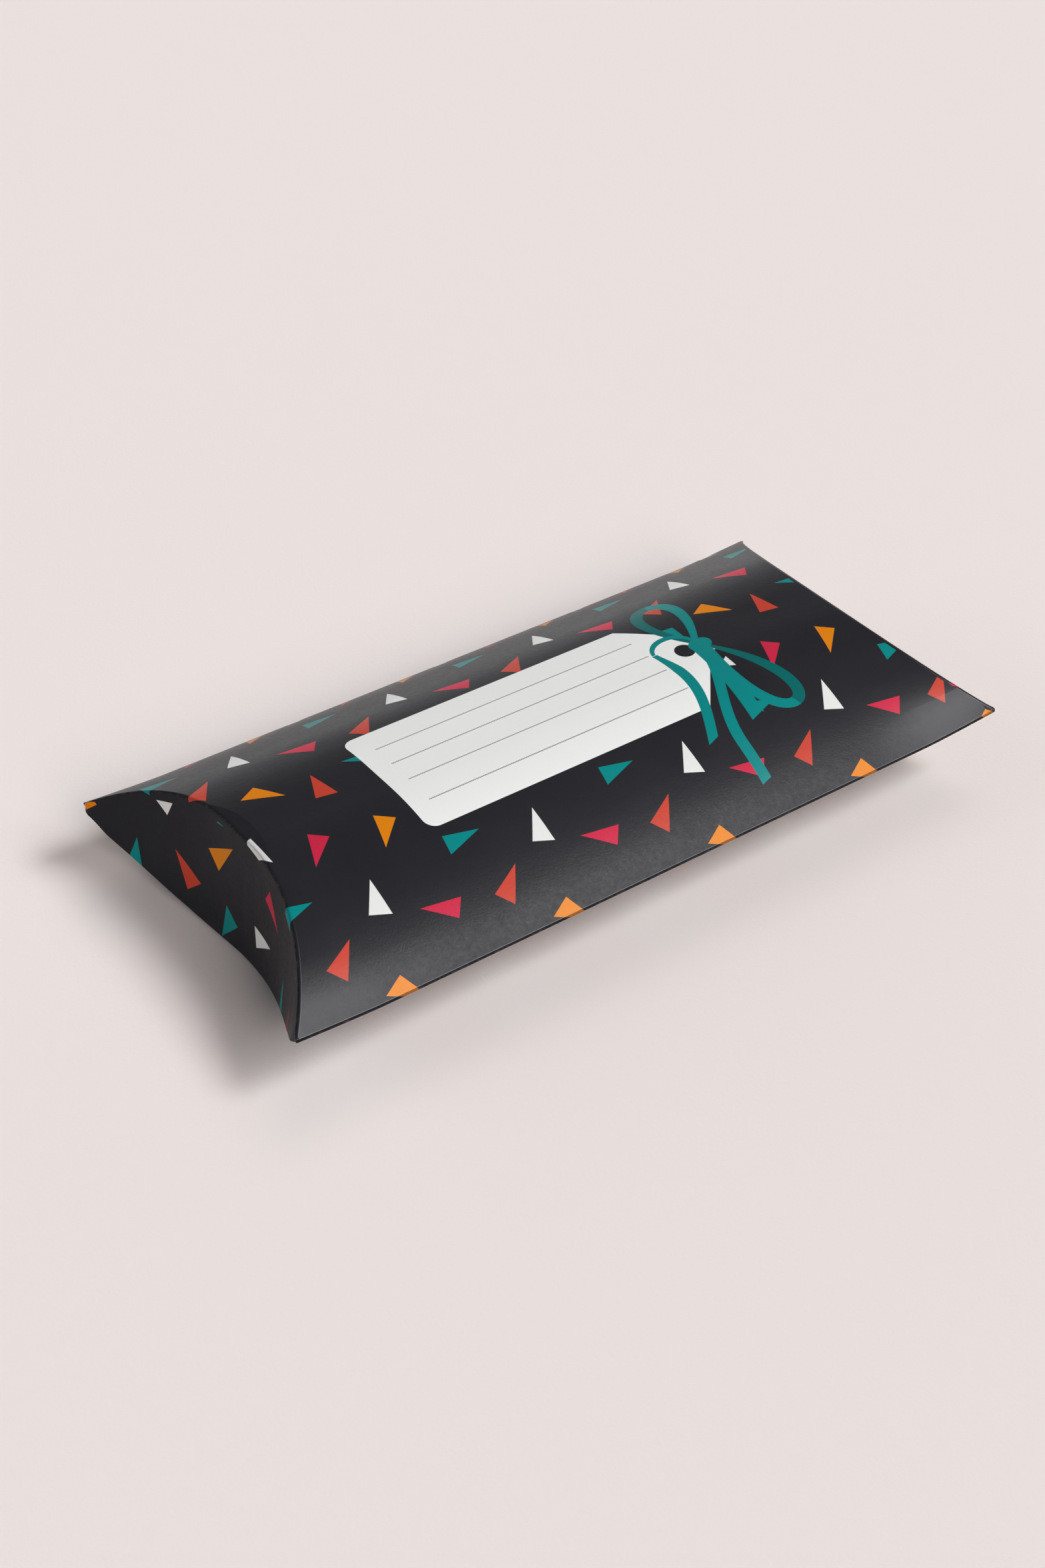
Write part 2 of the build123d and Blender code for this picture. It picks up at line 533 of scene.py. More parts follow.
# Printed card: black ground with confetti, under a silk laminate
confetti = {
    "repeatAlong": 70.4,
    "repeatAcross": 98.0,
    "edge": 0.12,
    # how far past each crease the print of the flap starts; beyond the first value of earClip, a
    # place across the left flap, it starts at the second
    "leftClip": 3.2,
    "rightClip": -2.2,
    "rightGap": 3.0,
    "earClip": (62.0, -1.5),
    "flapShift": (-36.0, -4.5),
    "flapHalf": 86.5,
    # the fleck of this place in the list wraps the front fold, and is spaced a hair wider there
    "wrapped": 9,
    "wrapShift": (0.0155, 113.0, 0.9, -1.5),
    "wrapBelow": -70.0,
    "wrapEnd": 150.0,
    "foldBand": (-88.8, -82.6),
    # places in the list of the flecks that are drawn apart or left out at the left crease
    "apart": (6, 8),
    "apartEnd": -130.0,
    "black": ink(29, 29, 33),
    "dark": ink(36, 36, 40),
    "coral": ink(183, 60, 43),
    "rose": ink(187, 34, 63),
    "white": ink(213, 212, 209),
    "teal": ink(0, 122, 121),
    "orange": ink(209, 120, 6),
    "flecks": [
        ("coral", (-142.5, -66.9), (-137.2, -73.2), (-129.2, -59.8)),
        ("rose", (-100.2, -60.4), (-84.1, -62.5), (-88.8, -69.3)),
        ("white", (-118.3, -54.9), (-110.2, -57.9), (-110.4, -42.7)),
        ("teal", (-78.3, -46.7), (-77.1, -38.6), (-63.1, -41.8)),
        ("orange", (-93.3, -18.2), (-86.8, -23.2), (-97.7, -33.5)),
        ("rose", (-118.4, -14.1), (-112.3, -19.1), (-124.3, -29.4)),
        ("white", (-136.5, -4.9), (-136.3, -20.6), (-144.3, -17.1)),
        ("coral", (-99.2, 14.7), (-105.0, 1.6), (-96.5, 0.0)),
        ("teal", (125.6, 15.1), (140.7, 13.6), (140.4, 5.0)),
        ("orange", (-119.7, 21.0), (-127.6, 16.4), (-113.0, 9.5)),
    ],
    # the left outer flap and the creases are printed apart from the repeat
    "leftFlap": [
        ("white", (-149.4, 48.0), (-147.3, 39.8), (-153.6, 42.0)),
        ("teal", (-169.9, 56.1), (-185.5, 51.8), (-183.0, 60.5)),
        ("coral", (-166.7, 36.7), (-174.5, 22.1), (-180.7, 29.2)),
        ("orange", (-156.3, 18.8), (-147.5, 3.7), (-162.6, 12.1)),
        ("teal", (-174.8, 6.6), (-180.2, -0.7), (-190.0, 8.9)),
        ("white", (-171.7, -12.2), (-172.2, -25.9), (-180.5, -13.8)),
        ("rose", (-148.0, -23.5), (-153.8, -20.1), (-159.9, -33.1)),
        ("teal", (-140.2, 14.2), (-141.7, 10.4), (-142.2, 14.3)),
        ("teal", (-170.6, -44.5), (-188.0, -41.3), (-183.0, -46.2)),
        ("coral", (-169.2, -60.4), (-178.5, -65.3), (-176.0, -61.8)),
        ("orange", (-163.0, 87.0), (-160.6, 76.6), (-161.6, 75.6), (-165.1, 80.0)),
    ],
    # pieces of flecks that the creases, folds and ribbon cut
    "cutFlecks": [
        (
            "white",
            (-136.1, -4.7),
            (-137.7, -5.2),
            (-139.3, -6.3),
            (-140.6, -14.3),
            (-137.8, -18.0),
            (-136.1, -19.9),
        ),
        ("rose", (151.0, -66.3), (155.1, -70.9), (151.5, -68.2)),
        (
            "orange",
            (160.1, -82.9),
            (156.5, -84.9),
            (159.1, -87.2),
            (165.0, -87.4),
            (161.6, -84.4),
        ),
        ("orange", (158.3, 84.5), (161.3, 84.5), (161.3, 88.0), (158.3, 88.0)),
        ("black", (71.0, -8.2), (76.0, -8.2), (76.0, -13.5), (71.5, -16.3)),
    ],
}


def fleckMask(tree, spot, corners, repeated=True):
    # a flat-sided fleck: inside where no side of it has been crossed
    points = [Vector(corner) for corner in corners]
    centre = sum(points, Vector((0, 0))) / len(points)
    local = spot.vector("SUBTRACT", spot, (centre.x, centre.y, 0.0))
    if repeated:
        halfAlong, halfAcross = confetti["repeatAlong"] / 2, confetti["repeatAcross"] / 2
        most, least = (halfAlong, halfAcross, 1.0), (-halfAlong, -halfAcross, -1.0)
        local = local.vector("WRAP", local, most, least)
    field = None
    for i in range(len(points)):
        first, second = points[i], points[(i + 1) % len(points)]
        along = (second - first).normalized()
        normal = Vector((along.y, -along.x))
        if normal.dot(centre - first) > 0:
            normal = -normal
        distance = local.vector("DOT_PRODUCT", local, (normal.x, normal.y, 0.0), output="Value")
        distance = distance - normal.dot(first - centre)
        field = distance if field is None else field.most(distance)
    return field.inside(confetti["edge"])


# Writing tag printed on the upper panel, with its punched hole and ruled lines
tag = {
    "centre": (10.7, -4.2),
    "half": (90.0, 29.9),
    "round": 5.0,
    "rightEnd": 69.6,
    "upperCut": (0.715, 0.699, 53.4),
    "lowerCut": (0.781, -0.625, 61.1),
    "hole": (63.9, -2.2, 4.2),
    "rules": [13.8, 3.0, -8.3, -21.6],
    "ruleStart": -71.2,
    "ruleStop": 49.8,
    "ruleHalf": 0.26,
    "dotEvery": 0.75,
    "dotDepth": 0.3,
    "edge": 0.12,
    "ruleEdge": 0.14,
    "panelHalf": 84.0,
    "creaseGap": 4.0,
    "paper": ink(224, 223, 220),
    "rule": ink(74, 72, 72),
}


def tagMasks(tree, x, s):
    centre, half, corner = tag["centre"], tag["half"], tag["round"]
    outX = (abs(x - centre[0]) - (half[0] - corner)).most(0.0)
    outS = (abs(s - centre[1]) - (half[1] - corner)).most(0.0)
    field = (outX * outX + outS * outS).root() - corner
    for across, up, offset in (tag["upperCut"], tag["lowerCut"]):
        field = field.most(x * across + s * up - offset)
    field = field.most(x - tag["rightEnd"])
    holeX, holeS, holeRadius = tag["hole"]
    away = (x - holeX) * (x - holeX) + (s - holeS) * (s - holeS)
    hole = away.root() - holeRadius
    rules = None
    for place in tag["rules"]:
        gap = abs(s - place)
        rules = gap if rules is None else rules.least(gap)
    middle = (tag["ruleStart"] + tag["ruleStop"]) / 2
    reach = (tag["ruleStop"] - tag["ruleStart"]) / 2
    rules = (rules - tag["ruleHalf"]).most(abs(x - middle) - reach)
    dots = (x * (2 * math.pi / tag["dotEvery"])).sine() * tag["dotDepth"] + (1 - tag["dotDepth"])
    return field.inside(tag["edge"]), hole.inside(tag["edge"]), rules.inside(tag["ruleEdge"]) * dots


# Plain ribbon bow of this model's own design, tied through the hole of the tag
bow = {
    "bright": ink(0, 121, 120),
    "dark": ink(0, 92, 90),
    "soft": 0.14,
    "ribbon": 5.0,
    "fullness": 2.6,
    "innerStart": 0.8,  # ends of the opening in a loop, in widths of the ribbon
    "innerEnd": 0.9,
    "upperLoop": {"knot": (71.2, -2.2), "tip": (73.5, 36.0), "half": 11.6, "sway": 1.5},
    "lowerLoop": {"knot": (73.8, -3.2), "tip": (85.8, -48.7), "half": 10.6, "sway": -2.0},
    "arch": {"centre": (61.4, 0.8), "outer": (10.6, 9.2), "inner": (8.9, 6.6), "from": 2.0},
    "knot": {"centre": (71.9, -2.0), "radii": (5.4, 4.0), "turn": 8.0},
    "shortTail": {
        "at": 52.2,
        "drop": -0.0036,
        "swing": -2.4,
        "wave": 12.0,
        "half": 2.4,
        "tip": 1.3,
        "taper": 0.09,
        "from": 1.8,
        "to": -48.0,
        "cut": 0.4,
    },
    "longTail": {
        "at": 61.7,
        "swing": 9.3,
        "fall": 54.0,
        "half": 2.5,
        "from": -2.2,
        "to": -71.1,
        "cut": 0.3,
    },
    "endTail": {
        "at": 70.5,
        "slope": 0.1,
        "half": 3.3,
        "from": -3.2,
        "to": -45.6,
        "notch": 4.0,
        "cut": 1.2,
    },
}


def ovalField(x, s, centre, radii, turn=0.0):
    cosine, sine = math.cos(math.radians(turn)), math.sin(math.radians(turn))
    across = ((x - centre[0]) * cosine + (s - centre[1]) * sine) / radii[0]
    rise = ((s - centre[1]) * cosine - (x - centre[0]) * sine) / radii[1]
    total = across * across + rise * rise
    return (total.root() - 1.0) * min(radii)


def loopField(x, s, shape):
    # a drop-shaped loop: widest two thirds of the way from the knot to its tip
    knot, tip = Vector(shape["knot"]), Vector(shape["tip"])
    length = (tip - knot).length
    axis = (tip - knot) / length
    along = (x - knot.x) * axis.x + (s - knot.y) * axis.y
    aside = (x - knot.x) * axis.y - (s - knot.y) * axis.x
    share = (along / length).clamped()
    aside = aside + share * (1.0 - share) * (4.0 * shape["sway"])

    def drop(half, start, stop):
        part = ramp(along, start, stop)
        return abs(aside) - part * (1.0 - part).root() * (bow["fullness"] * half)

    ribbon = bow["ribbon"]
    outer = drop(shape["half"], 0.0, length).most(along - length)
    innerStart, innerEnd = bow["innerStart"] * ribbon, length - bow["innerEnd"] * ribbon
    inner = drop(shape["half"] - ribbon, innerStart, innerEnd)
    return outer.most(-inner).most(-along), aside


def tailFields(x, s):
    short, long, end = bow["shortTail"], bow["longTail"], bow["endTail"]
    middle = s * s * short["drop"] + (s / short["wave"]).sine() * short["swing"] + short["at"]
    width = (short["half"] - short["tip"]) * (s * -short["taper"]).clamped() + short["tip"]
    shortField = (abs(x - middle) - width).most(s - short["from"])
    shortField = shortField.most(short["to"] - s + (x - middle) * short["cut"])
    fall = (s * (-1.0 / long["fall"])).clamped() * math.pi + math.pi / 2
    middle = fall.sine() * long["swing"] + long["at"]
    longField = (abs(x - middle) - long["half"]).most(s - long["from"])
    longField = longField.most(long["to"] - s + (x - middle) * long["cut"])
    aside = abs(x - s * end["slope"] - end["at"])
    endField = (aside - end["half"]).most(s - end["from"])
    endField = endField.most(end["to"] - s - aside * end["cut"] + end["notch"])
    return shortField.least(longField).least(endField)


def bowLayers(x, s):
    # fields of the bow from the lowest to the uppermost, each with its shade
    upper, upperSide = loopField(x, s, bow["upperLoop"])
    lower, lowerSide = loopField(x, s, bow["lowerLoop"])
    arch, knot = bow["arch"], bow["knot"]
    archField = ovalField(x, s, arch["centre"], arch["outer"])
    archHole = ovalField(x, s, arch["centre"], arch["inner"])
    archField = archField.most(-archHole).most(arch["from"] - s)
    knotField = ovalField(x, s, knot["centre"], knot["radii"], knot["turn"])
    return [
        (upper, "bright"),
        (upper.most(upperSide), "dark"),
        (lower, "bright"),
        (lower.most(lowerSide), "dark"),
        (tailFields(x, s).least(archField).least(knotField), "bright"),
    ]


def blankWires(tree):
    stored = addNode(tree, "ShaderNodeAttribute", {"attribute_name": "blank"}, None, "Vector")
    spot = stored.vector("MULTIPLY", stored, (1000.0, 1000.0, 1000.0))
    return spot, spot.part(0), spot.part(1), spot.part(2)


def newMaterial(name):
    material = bpy.data.materials.new(name)
    material.use_nodes = True
    tree = material.node_tree
    tree.nodes.clear()
    shader = tree.nodes.new("ShaderNodeBsdfPrincipled")
    target = tree.nodes.new("ShaderNodeOutputMaterial")
    tree.links.new(shader.outputs[0], target.inputs[0])
    place = addNode(tree, "ShaderNodeTexCoord", None, None, "Object")
    return material, tree, shader, place


def feed(tree, shader, values):
    # a plain value stays on the shader's own socket
    for name, value in values.items():
        if isinstance(value, Wire):
            tree.links.new(value.socket, shader.inputs[name])
        else:
            shader.inputs[name].default_value = value


def bump(tree, strength, distance, height, below=None, invert=False):
    values = {"Strength": strength, "Distance": distance, "Height": height}
    if below is not None:
        values["Normal"] = below
    return addNode(tree, "ShaderNodeBump", {"invert": invert}, values)


def noise(tree, place, scale, detail=3.0, roughness=0.55, distortion=0.0):
    values = {"Vector": place, "Scale": scale, "Detail": detail}
    values.update({"Roughness": roughness, "Distortion": distortion})
    return addNode(tree, "ShaderNodeTexNoise", {"noise_dimensions": "3D"}, values)


# Ink worn off along the folds and creases, with painted shade under the front fold and painted
# highlights along its top edge and inside the creases near the front. Here and below, a pair for
# ramp holds where an effect starts and where it is whole, and the numbers for noise are scale,
# detail, roughness, distortion
wearAndPaintedLight = {
    "foldPlace": 85.9,
    "reach": (0.9, 0.0),
    "rubbed": (0.5, 0.75),
    "amount": 0.22,
    "pale": ink(150, 148, 146),
    # painted shade on the underside of the front fold: these two entries
    "foldShade": ink(14, 13, 16),
    "foldShadeAmount": 0.55,
    # painted highlight just inside each crease towards the front fold, patchy where rubbed: these
    # five entries
    "creaseLine": (-1.5, 0.1),
    "creaseHighlightFrom": (45.0, 65.0),
    "creaseHighlightEdge": 0.2,
    "creaseHighlightAmount": 0.5,
    "crease": ink(150, 147, 150),
    # painted highlight along the top edge of the front fold, brighter where rubbed: these four
    # entries
    "ridgeHalf": 0.05,
    "ridgeEdge": 0.16,
    "ridgeHighlightAmount": (0.15, 0.6),
    "ridgeHighlight": ink(178, 174, 176),
}

# Silk laminate. The pairs marked "both" hold the value of the left front corner and of the right
laminate = {
    "roughness": 0.37,
    "shader": {"Specular IOR Level": 0.05, "Sheen Weight": 0.02, "Sheen Roughness": 0.35},
    "clouds": (35.0, 3.0),
    "rub": (420.0, 4.0, 0.7),
    "grain": (1500.0, 2.0, 0.6),
    "fibres": (500.0, 3.0, 0.55),
    "fibreDepth": 0.7,
    "grainBump": (0.4, 0.00012),
    "gritFibre": 0.16,
    "gritGrain": 0.12,
    "gritCloud": 0.05,
    "gritWorn": 0.15,
    "ripple": (9.0, 2.0, 0.5),
    "rippleStretch": (1.0, 4.0, 4.0),
    "rippleBump": (0.35, 0.0012),
    "polish": (0.08, 0.09),  # both
    "polishAlong": (90.0, 155.0),
    "polishAcross": (30.0, 75.0),
    "polishCurve": 0.4,
    "calm": 0.65,
    "cornerDip": (1.5, 3.0),  # both
    "dipAlong": (85.0, 160.0),
    "dipAcross": (50.0, 85.0),
    "dipCurve": 1.5,
    "cornerFlare": 6.0,
    "flareAlong": (100.0, 164.0),
    "flareAcross": (10.0, 70.0),
    "groove": (-1.6, 0.0),
    "grooveDepth": 0.5,
    "crescent": 6.5,
    "crescentMiddle": 1.0,
    "crescentFall": 0.012,
    "pressed": 0.16,
}


def confettiColours(tree, spot, x, s, past, cloud):
    black = blendColours(tree, cloud, confetti["black"], confetti["dark"])
    # the print of each flap starts a little away from its crease, out of step with the panel
    onRight = x > 0.0
    earStart, earClip = confetti["earClip"]
    leftClip = mixNumbers(confetti["leftClip"], earClip, s > earStart)
    onFlap = past > mixNumbers(leftClip, confetti["rightClip"], onRight)
    offEars = abs(s) < confetti["flapHalf"]
    onLeftFlap = onFlap * (1.0 - onRight) * offEars
    gapEnd = confetti["rightClip"] + confetti["rightGap"]
    bare = onFlap * onRight * (past < gapEnd) * offEars
    shiftAlong, shiftAcross = confetti["flapShift"]
    flat = spot.vector("MULTIPLY", spot, (1.0, 1.0, 0.0))
    flapShift = combine(tree, onFlap * shiftAlong, onFlap * shiftAcross, 0.0)
    printSpot = flat.vector("SUBTRACT", flat, flapShift)
    stretch, origin, wrapAlong, wrapAcross = confetti["wrapShift"]
    wrapShift = combine(tree, (x + origin) * stretch + wrapAlong, wrapAcross, 0.0)
    wrapSpot = flat.vector("SUBTRACT", flat, wrapShift)

    colour = black
    bandStart, bandEnd = confetti["foldBand"]
    offFold = 1.0 - (s < bandEnd) * (s > bandStart)
    wrapZone = (s < confetti["wrapBelow"]) * (1.0 - onFlap)
    for i, (name, *corners) in enumerate(confetti["flecks"]):
        mask = fleckMask(tree, printSpot, corners) * offFold
        if i == confetti["wrapped"]:
            wrapped = fleckMask(tree, wrapSpot, corners) * (x < confetti["wrapEnd"])
            mask = mixNumbers(mask, wrapped, wrapZone)
        if i in confetti["apart"]:
            mask = mask * (x > confetti["apartEnd"])
        colour = blendColours(tree, mask, colour, confetti[name])
    flap = black
    for name, *corners in confetti["leftFlap"]:
        mask = fleckMask(tree, flat, corners, False)
        flap = blendColours(tree, mask, flap, confetti[name])
    colour = blendColours(tree, onLeftFlap, colour, flap)
    colour = blendColours(tree, bare, colour, black)
    for name, *corners in confetti["cutFlecks"]:
        mask = fleckMask(tree, flat, corners, False)
        colour = blendColours(tree, mask, colour, confetti[name])
    return colour


def tagColours(tree, x, s, past, colour):
    onTop = (abs(s) < tag["panelHalf"]) * (past < -tag["creaseGap"])
    paper, hole, rules = tagMasks(tree, x, s)
    layers = [(paper, tag["paper"]), (rules, tag["rule"]), (hole, confetti["black"])]
    layers += [(field.inside(bow["soft"]), bow[shade]) for field, shade in bowLayers(x, s)]
    for mask, shade in layers:
        colour = blendColours(tree, mask * onTop, colour, shade)
    return colour


def wearAndPaintedLightColours(tree, s, past, rub, colour):
    edge = abs(abs(s) - wearAndPaintedLight["foldPlace"]).least(abs(past))
    worn = ramp(edge, *wearAndPaintedLight["reach"]) * ramp(rub, *wearAndPaintedLight["rubbed"])
    # painted shade: the colour on the underside of the front fold, down to underHeight, is darkened
    foldShadeBand = (s < foldEdge) * (s > foldUnder)
    # painted highlight: a pale line just inside each crease, only towards the front fold
    line, half = wearAndPaintedLight["creaseLine"]
    creaseHighlight = (abs(past - line) - half).inside(wearAndPaintedLight["creaseHighlightEdge"])
    creaseHighlight = creaseHighlight * ramp(-s, *wearAndPaintedLight["creaseHighlightFrom"]) * (s > foldEdge)
    # painted highlight: a pale line along the top edge of the front fold, patchy with the rub noise
    least, more = wearAndPaintedLight["ridgeHighlightAmount"]
    ridgeHighlight = (abs(s - foldEdge) - wearAndPaintedLight["ridgeHalf"]).inside(wearAndPaintedLight["ridgeEdge"])
    ridgeHighlight = ridgeHighlight * (least + more * rub)
    for mask, shade in (
        (foldShadeBand * wearAndPaintedLight["foldShadeAmount"], "foldShade"),
        (worn * wearAndPaintedLight["amount"], "pale"),
        (creaseHighlight * rub * wearAndPaintedLight["creaseHighlightAmount"], "crease"),
        (ridgeHighlight, "ridgeHighlight"),
    ):
        colour = blendColours(tree, mask, colour, wearAndPaintedLight[shade])
    return colour, worn


def cornerDents(x, s, past, onRight):
    # the panel falls away faster near its front corners, and the right one turns up at its tip
    leftDip, rightDip = laminate["cornerDip"]
    towardsEnd = ramp(abs(x), *laminate["dipAlong"])
    towardsFold = ramp(-s, *laminate["dipAcross"])
    towardsFold = towardsFold.maths("POWER", towardsFold, laminate["dipCurve"])
    fall = towardsEnd * towardsEnd * towardsFold
    flare = ramp(x, *laminate["flareAlong"])
    turnUp = flare * flare * ramp(-s, *laminate["flareAcross"]) * laminate["cornerFlare"]
    dip = fall * mixNumbers(leftDip, rightDip, onRight) - turnUp
    # a narrow groove runs beside each crease, and a shallow crescent is pressed in at the left one
    groove = ramp(past, *laminate["groove"])
    middle = laminate["crescentMiddle"]
    crescent = laminate["crescent"] - (s - middle) * (s - middle) * laminate["crescentFall"]
    pressed = (past + crescent).most(0.0) * (crescent > 0.0) * (1.0 - onRight)
    dent = groove * groove * laminate["grooveDepth"] + pressed * laminate["pressed"]
    return (dip + dent) * (past < 0.0)


def printedCard():
    material, tree, shader, place = newMaterial("printedCard")
    spot, x, s, past = blankWires(tree)
    onRight = x > 0.0
    cloud = noise(tree, place, *laminate["clouds"])
    rub = noise(tree, place, *laminate["rub"])
    colour = confettiColours(tree, spot, x, s, past, cloud)
    colour = tagColours(tree, x, s, past, colour)
    # ink worn off at the folds and creases, with painted shade under the front fold and painted
    # highlights along its top edge and beside the creases
    colour, worn = wearAndPaintedLightColours(tree, s, past, rub, colour)

    # fine grain over the fibres of the board, calmer where the front corners are rubbed smooth
    grain = noise(tree, place, *laminate["grain"])
    fibre = noise(tree, place, *laminate["fibres"])
    leftPolish, rightPolish = laminate["polish"]
    curve = laminate["polishCurve"]
    handled = ramp(abs(x), *laminate["polishAlong"]) * ramp(-s, *laminate["polishAcross"])
    handled = handled * ((1.0 + curve) - curve * handled)
    polish = handled * mixNumbers(leftPolish, rightPolish, onRight)
    calm = 1.0 - handled * laminate["calm"]
    grit = (fibre - 0.5) * laminate["gritFibre"] + (grain - 0.5) * laminate["gritGrain"]
    rough = laminate["roughness"] - polish + grit * calm
    rough = rough + (cloud - 0.5) * laminate["gritCloud"] + worn * laminate["gritWorn"]

    # a slow ripple of the panel over the dents and the grain
    streak = place.vector("MULTIPLY", place, laminate["rippleStretch"])
    ripple = noise(tree, streak, *laminate["ripple"])
    tooth = (grain + fibre * laminate["fibreDepth"]) * calm
    normal = bump(tree, *laminate["grainBump"], tooth)
    normal = bump(tree, 1.0, mm, cornerDents(x, s, past, onRight), normal, True)
    normal = bump(tree, *laminate["rippleBump"], ripple, normal)
    wires = {"Base Color": colour, "Roughness": rough, "Normal": normal}
    feed(tree, shader, {**wires, **laminate["shader"]})
    return material


# Uncoated inside of the board, with threads and specks in it
board = {
    "pale": ink(206, 202, 195),
    "shade": ink(190, 185, 177),
    "thread": ink(168, 160, 150),
    "speck": ink(140, 128, 114),
    "clouds": (60.0, 4.0),
    "threads": (900.0, 5.0, 0.7, 1.2),
    "threadAmount": 0.4,
    "specks": (380.0, 2.0, 0.4),
    "speckAmount": 0.5,
    "roughness": 0.82,
    "sway": 0.12,
    "bump": (0.3, 0.0002),
    "shader": {"Specular IOR Level": 0.25},
}


def boardFace():
    material, tree, shader, place = newMaterial("boardFace")
    cloud = noise(tree, place, *board["clouds"])
    fibre = noise(tree, place, *board["threads"])
    speck = noise(tree, place, *board["specks"])
    colour = blendColours(tree, cloud, board["pale"], board["shade"])
    threads = ((fibre - 0.5) * 1.5).clamped() * board["threadAmount"]
    colour = blendColours(tree, threads, colour, board["thread"])
    specks = ((speck - 0.68) * 9.0).clamped() * board["speckAmount"]
    colour = blendColours(tree, specks, colour, board["speck"])
    rough = board["roughness"] + (fibre - 0.5) * board["sway"]
    normal = bump(tree, *board["bump"], fibre)
    wires = {"Base Color": colour, "Roughness": rough, "Normal": normal}
    feed(tree, shader, {**wires, **board["shader"]})
    return material


# Cut edges of the card, with ink pressed into the core of the board
cutEdge = {
    "colours": (ink(60, 58, 57), ink(96, 94, 92)),
    "grain": (1500.0, 4.0, 0.7),
    "roughness": 0.75,
    "sway": 0.2,
    "bump": (0.4, 0.0002),
    "shader": {"Specular IOR Level": 0.3},
}

# Dried glue film between the glue flap and the lower panel
driedGlue = {
    "colours": (ink(214, 203, 178), ink(190, 174, 142)),
    "grain": (240.0, 4.0, 0.6),
    "roughness": 0.45,
    "sway": 0.25,
    "bump": (0.4, 0.0003),
    "shader": {"Specular IOR Level": 0.5},
}


def grainyMaterial(name, facts):
    # one grain mixes the two colours, sways the roughness and makes the bump
    material, tree, shader, place = newMaterial(name)
    grain = noise(tree, place, *facts["grain"])
    colour = blendColours(tree, grain, *facts["colours"])
    rough = facts["roughness"] + (grain - 0.5) * facts["sway"]
    normal = bump(tree, *facts["bump"], grain)
    wires = {"Base Color": colour, "Roughness": rough, "Normal": normal}
    feed(tree, shader, {**wires, **facts["shader"]})
    return material


card = {
    "Card thickness": form["cardThickness"] * mm,
    "Printed face": printedCard(),
    "Board face": boardFace(),
    "Cut edge": grainyMaterial("cutEdge", cutEdge),
}
glueSkin = grainyMaterial("driedGlue", driedGlue)
print("materials made")

panelSweep, flapHang = panelTree(), flapTree()


def panelPiece(name, rows):
    across, height = line[rows, 0], line[rows, 1]
    isGlue = np.arange(len(line))[rows] >= marks[3] - form["glueRows"]
    onNose = np.abs(height) < form["noseHalf"]
    creaseLines, limits = [], []
    for end, facts in ends.items():
        top = creaseLine(end, across, height, True)
        bottom = creaseLine(end, across, height, False)
        tip = creasePlace(end, across, 0.0, 1.0)
        crease = np.where(onNose, tip, np.where(height > 0, top, bottom))
        creaseLines.append(crease)
        limits.append(crease - facts["side"] * bendReach(height) * ~onNose)
    glueEdges, glueEnds = (form["glueEdge"], form["rawEdge"]), (form["glueShort"], form["glueLong"])
    taper = np.interp(across, glueEdges, glueEnds)
    points = np.stack([np.zeros(len(across)), across, height + form["foldHeight"]], 1)
    normals = np.stack([np.zeros(len(across)), outward[rows, 0], outward[rows, 1]], 1)
    numbers = {
        "startX": np.where(isGlue, -taper, limits[0]) * mm,
        "endX": np.where(isGlue, taper, limits[1]) * mm,
        "leftCrease": creaseLines[0] * mm,
        "rightCrease": creaseLines[1] * mm,
        "travel": travel[rows] * mm,
    }
    piece = pointCloudOf(name, points, {"outward": normals}, numbers)
    return grow(piece, panelSweep, {"Points along": form["panelPoints"], **card})


def flapPiece(name, end, isOuter, rows):
    facts = ends[end]
    side = facts["side"]
    across, height = line[rows, 0], line[rows, 1]
    lean = facts["outerLean"] if isOuter else facts["innerLean"]
    edgeRise = form["outerEdgeRise"] if isOuter else form["innerEdgeRise"]
    crease = creaseLine(end, across, height, isOuter)
    corner = np.stack([crease, across, height + form["foldHeight"]], 1)

    # how far each row falls, and how far out it leans without passing the ears
    narrow = np.interp(across, edgeNarrow["across"], edgeNarrow["kept"])
    fall = np.abs(height) + np.minimum(bulge(across, edgeRise), np.abs(height)) * narrow
    room = (form["earReach"] - np.abs(crease)) / fall
    sway = np.interp(across, edgeSway["across"], edgeSway["front"] + edgeSway["back"])
    sway = sway * facts["edgeSway"] * isOuter
    outwards = math.sin(math.radians(lean)) + sway / np.maximum(fall, form["swayFrom"])
    outwards = np.minimum(outwards, room)
    downwards = np.sqrt(1 - outwards**2) * (-1 if isOuter else 1)
    hanging = np.stack([side * outwards, np.zeros(len(fall)), downwards], 1)

    panelNormal = np.stack([np.zeros(len(fall)), outward[rows, 0], outward[rows, 1]], 1)
    rowsAlong = np.gradient(corner, axis=0)
    flapNormal = np.cross(rowsAlong, hanging)
    flapNormal /= np.linalg.norm(flapNormal, axis=1)[:, None]
    flapNormal *= np.sign(flapNormal[:, :1] * side)
    # rows run the way round that turns the faces outwards
    isForward = np.dot(np.cross(rowsAlong[5], hanging[5]), flapNormal[5]) > 0
    order = slice(None) if isForward else slice(None, None, -1)
    numbers = {"reach": bendReach(height), "fall": fall, "travel": travel[rows]}
    vectors = {"hanging": hanging, "panelNormal": panelNormal, "flapNormal": flapNormal}
    numbers = {title: row[order] * mm for title, row in numbers.items()}
    vectors = {title: stored[order] for title, stored in vectors.items()}
    piece = pointCloudOf(name, corner[order], vectors, numbers)
    values = {
        "Points along": form["flapPoints"],
        "Share of rows in the bend": form["bendCells"] / (form["flapPoints"] - 1),
        "End": float(side),
        **card,
    }
    return grow(piece, flapHang, values)


def rowsBeyond(start, stop, sign):
    # rows of one panel that lie above or below the nose of the fold
    kept = [i for i in range(start, stop) if sign * line[i, 1] > form["noseHalf"]]
    return slice(min(kept), max(kept) + 1)


